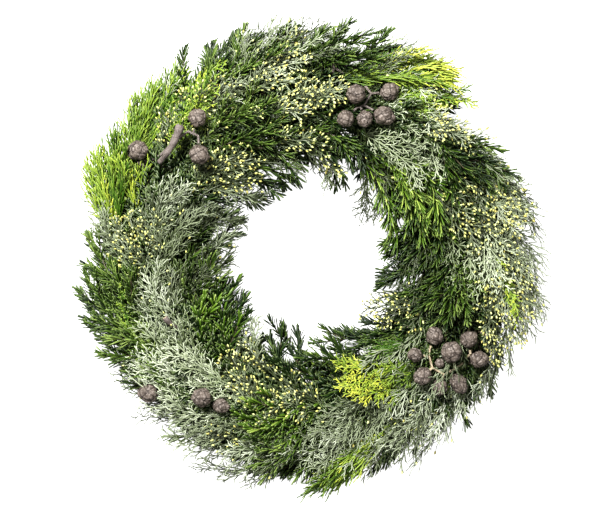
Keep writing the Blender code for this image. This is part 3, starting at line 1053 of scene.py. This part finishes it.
leafTone = makeLeafTone()
# the root colour is painted shade, and the leaves' Tip colour a painted highlight
leafLooks = {
    "fir": {
        "Root Shade": (0.006, 0.012, 0.003),
        "Dark": (0.010, 0.026, 0.004),
        "Middle": (0.068, 0.122, 0.016),
        "Light": (0.240, 0.325, 0.082),
        "Tip": (0.340, 0.430, 0.150),
        "Tip Share": 0.45,
    },
    "longFir": {
        "Root Shade": (0.006, 0.014, 0.003),
        "Dark": (0.014, 0.036, 0.004),
        "Middle": (0.095, 0.180, 0.014),
        "Light": (0.330, 0.425, 0.090),
        "Tip": (0.460, 0.560, 0.200),
        "Tip Share": 0.50,
    },
    "sage": {
        "Root Shade": (0.060, 0.080, 0.030),
        "Dark": (0.095, 0.125, 0.048),
        "Middle": (0.370, 0.420, 0.262),
        "Light": (0.665, 0.715, 0.545),
        "Tip": (0.680, 0.730, 0.570),
        "Tip Share": 0.4,
    },
    "blue": {
        "Root Shade": (0.045, 0.055, 0.020),
        "Dark": (0.050, 0.066, 0.024),
        "Middle": (0.262, 0.305, 0.182),
        "Light": (0.600, 0.645, 0.500),
        "Tip": (0.620, 0.665, 0.515),
        "Tip Share": 0.4,
    },
    "gold": {
        "Root Shade": (0.020, 0.045, 0.004),
        "Dark": (0.050, 0.120, 0.007),
        "Middle": (0.245, 0.355, 0.040),
        "Light": (0.590, 0.620, 0.085),
        "Tip": (0.600, 0.670, 0.210),
        "Tip Share": 0.55,
    },
    "bud": {
        "Root Shade": (0.340, 0.290, 0.090),
        "Dark": (0.440, 0.370, 0.095),
        "Middle": (0.630, 0.650, 0.210),
        "Light": (0.760, 0.800, 0.400),
        "Tip": (0.820, 0.830, 0.400),
        "Tip Share": 0.5,
    },
    "bark": {
        "Root Shade": (0.060, 0.050, 0.026),
        "Dark": (0.034, 0.028, 0.014),
        "Middle": (0.075, 0.062, 0.032),
        "Light": (0.160, 0.125, 0.075),
        "Tip": (0.090, 0.110, 0.035),
        "Tip Share": 0.3,
    },
}
leafRoughness = 0.45


def leafMaterial(kind):
    # one green: its colours on the leaf map, and the same soft gloss for all
    look = leafLooks[kind]
    made = bpy.data.materials.new(kind + "Leaf")
    made.use_nodes = True
    tree = made.node_tree
    shader = tree.nodes["Principled BSDF"]
    tone = tree.nodes.new("ShaderNodeGroup")
    tone.node_tree = leafTone
    for key, value in look.items():
        tone.inputs[key].default_value = (*value, 1.0) if isinstance(value, tuple) else value
    shader.inputs["Roughness"].default_value = leafRoughness
    tree.links.new(tone.outputs["Color"], shader.inputs["Base Color"])
    return made


leafMaterials = {kind: leafMaterial(kind) for kind in bands}


def addPiece(name, corners, faces, leafMap, slotIndex, materials):
    # a mesh object at the origin from whole arrays of corners and faces, riding on the wreath's one body
    mesh = bpy.data.meshes.new(name)
    mesh.vertices.add(len(corners))
    mesh.vertices.foreach_set("co", corners.astype(np.float32).ravel())
    mesh.loops.add(faces.size)
    mesh.loops.foreach_set("vertex_index", faces.astype(np.int32).ravel())
    mesh.polygons.add(len(faces))
    mesh.polygons.foreach_set("loop_start", np.arange(0, faces.size, faces.shape[1], dtype=np.int32))
    mesh.polygons.foreach_set("material_index", slotIndex.astype(np.int32))
    mesh.update(calc_edges=True)
    if leafMap is not None:
        layer = mesh.uv_layers.new(name="OFBake")
        layer.uv.foreach_set("vector", leafMap[faces.ravel()].astype(np.float32).ravel())
    for material in materials:
        mesh.materials.append(material)
    mesh.shade_smooth()
    mesh.validate()
    piece = bpy.data.objects.new(name, mesh)
    bpy.context.scene.collection.objects.link(piece)
    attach(piece, "root")
    return piece


def addLeafPiece(name, parts):
    # all the strands of one bunch in one mesh, with a material for each kind of green in it
    kinds = [kind for kind in bands if any(part["kind"] == kind for part in parts)]
    starts = np.cumsum([0] + [len(part["corners"]) for part in parts])
    corners = pressed(np.concatenate([part["corners"] for part in parts]), body["rim"])
    faces = np.concatenate([part["faces"] + start for part, start in zip(parts, starts)])
    leafMap = np.concatenate([part["map"] for part in parts])
    slotIndex = np.concatenate([np.full(len(part["faces"]), kinds.index(part["kind"])) for part in parts])
    materials = [leafMaterials[kind] for kind in kinds]
    return addPiece(name, corners, faces, leafMap, slotIndex, materials)


triangles = 0
for bunch in bunches:
    piece = addLeafPiece(bunch["name"] + "_leaves", bunch["parts"])
    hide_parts(bunch["name"])
    triangles += len(piece.data.polygons)
    print(piece.name, len(piece.data.polygons))
print("greens:", triangles, "triangles")

# Cones: a ball whose skin follows the woody scales, which meet in cracks, painted dark there as shade

cone = {
    "scales": 13,
    "rings": 44,
    "segments": 64,
    "plump": 0.95,  # share of its CAD size
    "shield": 0.06,  # how far a scale bulges, as a share of the cone's radius
    "shieldWidth": 0.60,  # radians
    "crack": 0.10,  # how deep the cracks between scales are
    "crackWidth": 0.075,
    "boss": 0.07,  # height of the point in the middle of a scale
    "bossWidth": 0.13,
    "nose": 0.17,  # how far the outer end is drawn to a point
    "noseWidth": 0.50,
    "slim": 0.93,  # its width, as a share of its CAD width
    "wrinkle": 0.030,
    "wrinkles": (10.0, 14),  # how fine, and how many waves make them
    "stray": 0.08,  # how far each scale strays from an even spread
    "upwards": 0.006,  # how far the cones of a cluster point up from its middle, metres
    "sideways": (0.3, 0.2, 1.0),  # a direction that no cone lies along, from which its sides are found
}
goldenAngle = np.pi * (3 - 5**0.5)


def coneSurface(middle, axis, halfLength, halfAcross, roll):
    # a ball of radius 1 + the bulge of the nearest scale + a boss at its middle - the crack where two
    # scales meet + wrinkles + a point at the outer end, stretched to the cone's length and width
    lat = np.linspace(0, np.pi, cone["rings"] + 2)
    lon = np.linspace(0, 2 * np.pi, cone["segments"], endpoint=False)
    lat, lon = np.meshgrid(lat[1:-1], lon, indexing="ij")
    grid = np.stack([np.cos(lat), np.sin(lat) * np.cos(lon), np.sin(lat) * np.sin(lon)], -1).reshape(-1, 3)
    grid = np.concatenate([[[1.0, 0, 0]], grid, [[-1.0, 0, 0]]])
    i = np.arange(cone["scales"])
    height = 1 - 2 * (i + 0.5) / cone["scales"]
    swing = i * goldenAngle + roll.uniform(0, 6)
    across = np.sqrt(1 - height**2)
    scales = np.stack([height, across * np.cos(swing), across * np.sin(swing)], -1)
    scales = unit(scales + roll.normal(0, cone["stray"], scales.shape))
    apart = np.sort(np.arccos(np.clip(grid @ scales.T, -1, 1)), axis=1)
    near, second = apart[:, 0], apart[:, 1]
    crack = np.exp(-(((second - near) / cone["crackWidth"]) ** 2))
    bulge = cone["shield"] * (1 - (near / cone["shieldWidth"]) ** 2)
    boss = cone["boss"] * np.exp(-((near / cone["bossWidth"]) ** 2))
    fine, waves = cone["wrinkles"]
    directions = roll.normal(0, 1, (waves, 3)) * fine
    wrinkle = np.sin(grid @ directions.T + roll.uniform(0, 6, waves)).mean(1) * cone["wrinkle"] * waves**0.5
    nose = cone["nose"] * np.exp(-((np.arccos(np.clip(grid[:, 0], -1, 1)) / cone["noseWidth"]) ** 2))
    radius = cone["plump"] * (1 + bulge - cone["crack"] * crack + boss + wrinkle + nose)[:, None]
    side = unit(np.cross(axis, cone["sideways"]))
    axes = np.stack([axis * halfLength, side * halfAcross, np.cross(axis, side) * halfAcross])
    corners = middle + (grid * radius) @ axes
    return corners, gridFaces(cone["rings"], cone["segments"]), crack


def gridFaces(rings, segments):
    # two triangles for each cell of a grid closed round its segments, and a fan at each pole
    r, c = np.meshgrid(np.arange(rings - 1), np.arange(segments), indexing="ij")
    a, b = 1 + r * segments + c, 1 + r * segments + (c + 1) % segments
    quads = np.stack([a, a + segments, b + segments, b], -1).reshape(-1, 4)
    fan = np.arange(segments)
    last = rings * segments + 1
    following = (fan + 1) % segments
    tops = np.stack([np.zeros(segments, int), 1 + fan, 1 + following], -1)
    ends = np.stack([np.full(segments, last), last - segments + following, last - segments + fan], -1)
    return np.concatenate([quads[:, [0, 1, 2]], quads[:, [0, 2, 3]], tops, ends])


grainAndCrackShadeEdges = {  # where each tone of the blotches, the grain and the painted crack shade gives way to the next
    "blotch": (0.36, 0.60),
    "grain": (0.48, 0.68),
    # painted shade: where the darkening in the cracks between scales sets in
    "crack": (0.1, 0.9),
    "detail": 3.0,
    "bumpDepth": 0.0004,  # metres
}


def makeGrainAndCrackShade():
    # blotches and fine grain on Object coordinates, between three tones, and painted shade in the cracks
    # from the mesh
    group, given, out = newGroup(
        "grainAndCrackShade",
        [
            ("Crack Shade", "NodeSocketColor", (0.02, 0.015, 0.01, 1)),
            ("Dark", "NodeSocketColor", (0.05, 0.04, 0.03, 1)),
            ("Middle", "NodeSocketColor", (0.15, 0.12, 0.1, 1)),
            ("Light", "NodeSocketColor", (0.3, 0.25, 0.2, 1)),
            ("Blotch Scale", "NodeSocketFloat", 90.0),
            ("Grain Scale", "NodeSocketFloat", 700.0),
        ],
        [("Color", "NodeSocketColor"), ("Grain", "NodeSocketFloat")],
    )
    place = group.nodes.new("ShaderNodeTexCoord")
    noises = []
    for name in ("Blotch Scale", "Grain Scale"):
        noise = group.nodes.new("ShaderNodeTexNoise")
        noise.inputs["Detail"].default_value = grainAndCrackShadeEdges["detail"]
        group.links.new(place.outputs["Object"], noise.inputs["Vector"])
        group.links.new(given.outputs[name], noise.inputs["Scale"])
        noises.append(noise.outputs["Fac"])
    blotch = addSmooth(group, noises[0], *grainAndCrackShadeEdges["blotch"])
    tone = addMix(group, blotch, given.outputs["Dark"], given.outputs["Middle"])
    tone = addMix(group, addSmooth(group, noises[1], *grainAndCrackShadeEdges["grain"]), tone, given.outputs["Light"])
    # painted shade: the cracks between scales, read from the mesh, darken to the crack colour
    crack = group.nodes.new("ShaderNodeAttribute")
    crack.attribute_name = "crack"
    crackShade = addSmooth(group, crack.outputs["Fac"], *grainAndCrackShadeEdges["crack"])
    tone = addMix(group, crackShade, tone, given.outputs["Crack Shade"])
    group.links.new(tone, out.inputs["Color"])
    group.links.new(noises[1], out.inputs["Grain"])
    return group


grainAndCrackShade = makeGrainAndCrackShade()
# each crack colour is painted shade; only the cones carry a crack mask
grainAndCrackShadeLooks = {
    "coneScales": {
        "Crack Shade": (0.020, 0.013, 0.010),
        "Dark": (0.060, 0.045, 0.035),
        "Middle": (0.130, 0.103, 0.083),
        "Light": (0.285, 0.242, 0.210),
        "blotch": 120.0,
        "grain": 420.0,
        "roughness": 0.7,
        "bump": 0.5,
    },
    "brownTwig": {
        "Crack Shade": (0.05, 0.04, 0.03),
        "Dark": (0.080, 0.062, 0.052),
        "Middle": (0.165, 0.135, 0.120),
        "Light": (0.300, 0.260, 0.240),
        "blotch": 150.0,
        "grain": 900.0,
        "roughness": 0.8,
        "bump": 0.6,
    },
    "paleTwig": {
        "Crack Shade": (0.15, 0.11, 0.07),
        "Dark": (0.280, 0.210, 0.130),
        "Middle": (0.480, 0.390, 0.260),
        "Light": (0.640, 0.560, 0.410),
        "blotch": 120.0,
        "grain": 900.0,
        "roughness": 0.7,
        "bump": 0.4,
    },
    "cutWood": {
        "Crack Shade": (0.30, 0.22, 0.14),
        "Dark": (0.380, 0.290, 0.190),
        "Middle": (0.520, 0.420, 0.290),
        "Light": (0.660, 0.570, 0.430),
        "blotch": 300.0,
        "grain": 1500.0,
        "roughness": 0.75,
        "bump": 0.3,
    },
    "greenWire": {
        "Crack Shade": (0.010, 0.025, 0.012),
        "Dark": (0.012, 0.035, 0.014),
        "Middle": (0.022, 0.070, 0.026),
        "Light": (0.060, 0.110, 0.060),
        "blotch": 60.0,
        "grain": 500.0,
        "roughness": 0.4,
        "bump": 0.2,
    },
}


def grainAndCrackShadeMaterial(name):
    # wood, bark or enamelled wire: blotches and grain, painted shade in any cracks, with the grain as a
    # fine bump
    look = grainAndCrackShadeLooks[name]
    made = bpy.data.materials.new(name)
    made.use_nodes = True
    tree = made.node_tree
    shader = tree.nodes["Principled BSDF"]
    tone = tree.nodes.new("ShaderNodeGroup")
    tone.node_tree = grainAndCrackShade
    for key in ("Crack Shade", "Dark", "Middle", "Light"):
        tone.inputs[key].default_value = (*look[key], 1.0)
    tone.inputs["Blotch Scale"].default_value = look["blotch"]
    tone.inputs["Grain Scale"].default_value = look["grain"]
    tree.links.new(tone.outputs["Color"], shader.inputs["Base Color"])
    shader.inputs["Roughness"].default_value = look["roughness"]
    bump = tree.nodes.new("ShaderNodeBump")
    bump.inputs["Strength"].default_value = look["bump"]
    bump.inputs["Distance"].default_value = grainAndCrackShadeEdges["bumpDepth"]
    tree.links.new(tone.outputs["Grain"], bump.inputs["Height"])
    tree.links.new(bump.outputs["Normal"], shader.inputs["Normal"])
    return made


grainAndCrackShadeMaterials = {name: grainAndCrackShadeMaterial(name) for name in grainAndCrackShadeLooks}

coneDice = np.random.default_rng(7)
for name in coneNames:
    cluster = name.rsplit("_", 1)[0]
    hub = np.mean([coneMiddles[other] for other in coneNames if other.startswith(cluster)], axis=0)
    axis = unit(coneMiddles[name] - hub + [0, 0, cone["upwards"]])
    side = unit(np.cross(axis, cone["sideways"]))
    halfLength = np.ptp(coneCorners[name] @ axis) / 2
    halfAcross = cone["slim"] * np.ptp(coneCorners[name] @ side) / 2
    corners, faces, crack = coneSurface(coneMiddles[name], axis, halfLength, halfAcross, coneDice)
    finish = [grainAndCrackShadeMaterials["coneScales"]]
    piece = addPiece(name + "_scales", corners, faces, None, np.zeros(len(faces)), finish)
    # the crack mask also paints shade into the cracks, through the material
    crackLayer = piece.data.attributes.new("crack", "FLOAT", "POINT")
    crackLayer.data.foreach_set("value", crack.astype(np.float32))
    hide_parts(name)
print(len(coneNames), "cones made")

# Cut stubs of branch that show between the greens

stubs = {  # foot and cut end: degrees round the ring, millimetres from its centre, millimetres high
    "thick_stub": {
        "foot": (147, 221, 80),
        "end": (134, 228, 97),
        "rise": 6,  # how far its middle bows upwards, and outwards, in millimetres
        "bow": -4,
        "halfWidth": (3.2, 4.9),  # at foot and end, millimetres
    },
    "short_stub": {
        "foot": (207, 184, 78),
        "end": (201.5, 191, 90),
        "rise": 2,
        "bow": 1,
        "halfWidth": (2.4, 3.4),
    },
}
stubShape = {
    "rings": 26,
    "segments": 24,
    "knots": 0.10,  # how much it swells at each
    "knotEvery": 0.017,  # metres
    "waves": 0.05,  # how far it is from round
    "rough": 0.04,
    "rim": 0.9,  # half width of the cut face, against the bark's
    "cutDepth": 0.0004,  # how far its middle has dried in, metres
}


def polarPoint(degrees, radius, height):
    # a place from its angle round the ring and its millimetres from the centre and above the floor
    turn = np.radians(degrees)
    return np.array([radius * np.cos(turn), radius * np.sin(turn), height]) * 1e-3


def stubSurface(look, roll):
    # a line from foot to end, bowed up and outwards as 4 * t * (1 - t), carrying circles that swell at
    # knots as a cosine
    t = np.linspace(0, 1, stubShape["rings"])[:, None]
    foot, end = polarPoint(*look["foot"]), polarPoint(*look["end"])
    path = foot + (end - foot) * t
    middle = (foot + end) * [0.5, 0.5, 0]
    bow = look["bow"] / 1000 * unit(middle) + [0, 0, look["rise"] / 1000]
    path += bow * 4 * t * (1 - t)
    along = unit(np.gradient(path, axis=0))
    side = unit(np.cross(along, [0, 0, 1.0]))
    lift = np.cross(side, along)
    thin, thick = np.array(look["halfWidth"]) / 1000
    knots = np.cos(2 * np.pi * t * np.linalg.norm(end - foot) / stubShape["knotEvery"])
    radius = (thin + (thick - thin) * t) * (1 + stubShape["knots"] * knots)
    angle = np.linspace(0, 2 * np.pi, stubShape["segments"], endpoint=False)
    uneven = 1 + stubShape["waves"] * np.sin(2 * angle + 1)
    uneven = uneven + stubShape["rough"] * roll.normal(0, 1, (len(t), len(angle)))
    uneven[-1] *= stubShape["rim"]
    spokes = np.cos(angle)[:, None] * side[:, None] + np.sin(angle)[:, None] * lift[:, None]
    rings = path[:, None] + (radius * uneven)[..., None] * spokes
    cutMiddle = path[-1:] - stubShape["cutDepth"] * along[-1]
    corners = np.concatenate([path[:1], rings.reshape(-1, 3), cutMiddle])
    return corners, gridFaces(stubShape["rings"], stubShape["segments"])


for name, look in stubs.items():
    corners, faces = stubSurface(look, coneDice)
    cut = (faces == len(corners) - 1).any(1).astype(int)
    finishes = [grainAndCrackShadeMaterials["brownTwig"], grainAndCrackShadeMaterials["cutWood"]]
    addPiece(name, corners, faces, None, cut, finishes)
print(len(stubs), "stubs made")

# The twigs and wires keep their own meshes and are given a finish

nodeLooks = {name: "brownTwig" for name in twigNames}
nodeLooks["cone_twig_lower_right"] = "paleTwig"
nodeLooks["wire_frame"] = nodeLooks["binding_wire"] = "greenWire"
for name, look in nodeLooks.items():
    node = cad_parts[name]
    node.data.materials.clear()
    node.data.materials.append(grainAndCrackShadeMaterials[look])
print(len(nodeLooks), "packed nodes finished")

# Floor, light and camera

view = {
    "width": 0.750,  # metres across the view at the middle of the wreath
    "height": 0.05,  # of that middle
    "lens": 85,
    "sensor": 36,
    "middle": (-0.0125, 0.0038),  # where the camera points, from the ring's centre
}
lights = {  # place, size across in metres, watts
    "keyLight": ((-0.7, 1.1, 2.0), 0.5, 118),
    "softLight": ((0.9, -0.5, 2.3), 1.4, 14),
}
studio = {
    "fill": 0.15,  # how much light comes from all round
    "backdrop": 0.97,  # how white the backdrop looks
    "floor": 0.45,
    "floorGlow": 0.90,
    "floorRoughness": 0.9,
    "floorSize": 8,  # metres
}

bpy.ops.mesh.primitive_plane_add(size=studio["floorSize"], location=(0, 0, 0))
floor = bpy.context.object
floor.name = "floor"
paper = bpy.data.materials.new("paleFloor")
paper.use_nodes = True
paperShader = paper.node_tree.nodes["Principled BSDF"]
paperShader.inputs["Base Color"].default_value = (*[studio["floor"]] * 3, 1)
paperShader.inputs["Roughness"].default_value = studio["floorRoughness"]
paperShader.inputs["Emission Color"].default_value = (1, 1, 1, 1)
seen = paper.node_tree.nodes.new("ShaderNodeLightPath")  # the floor's glow is seen, but lights nothing
glow = addMath(paper.node_tree, "MULTIPLY", seen.outputs["Is Camera Ray"], studio["floorGlow"])
paper.node_tree.links.new(glow, paperShader.inputs["Emission Strength"])
floor.data.materials.append(paper)

world = bpy.data.worlds.new("studio")  # a white backdrop that lights the wreath only softly
world.use_nodes = True
sky = world.node_tree.nodes["Background"]
sky.inputs["Color"].default_value = (1, 1, 1, 1)
ray = world.node_tree.nodes.new("ShaderNodeLightPath")
extra = studio["backdrop"] - studio["fill"]
seenSky = ray.outputs["Is Camera Ray"]
brightness = addMath(world.node_tree, "MULTIPLY_ADD", seenSky, extra, studio["fill"])
world.node_tree.links.new(brightness, sky.inputs["Strength"])
bpy.context.scene.world = world

for name, (place, size, power) in lights.items():
    lamp = bpy.data.lights.new(name, "AREA")
    lamp.size = size
    lamp.energy = power
    holder = bpy.data.objects.new(name, lamp)
    holder.location = place
    holder.rotation_euler = (-Vector(place)).to_track_quat("-Z", "Y").to_euler()
    bpy.context.scene.collection.objects.link(holder)

camera = bpy.data.cameras.new("camera")
camera.lens = view["lens"]
camera.sensor_width = view["sensor"]
distance = view["width"] * view["lens"] / camera.sensor_width
eye = bpy.data.objects.new("camera", camera)
eye.location = (*view["middle"], view["height"] + distance)
bpy.context.scene.collection.objects.link(eye)
bpy.context.scene.camera = eye
bpy.context.scene.view_settings.view_transform = "Standard"
bpy.context.scene.view_settings.look = "Medium High Contrast"
print("floor, light and camera placed")
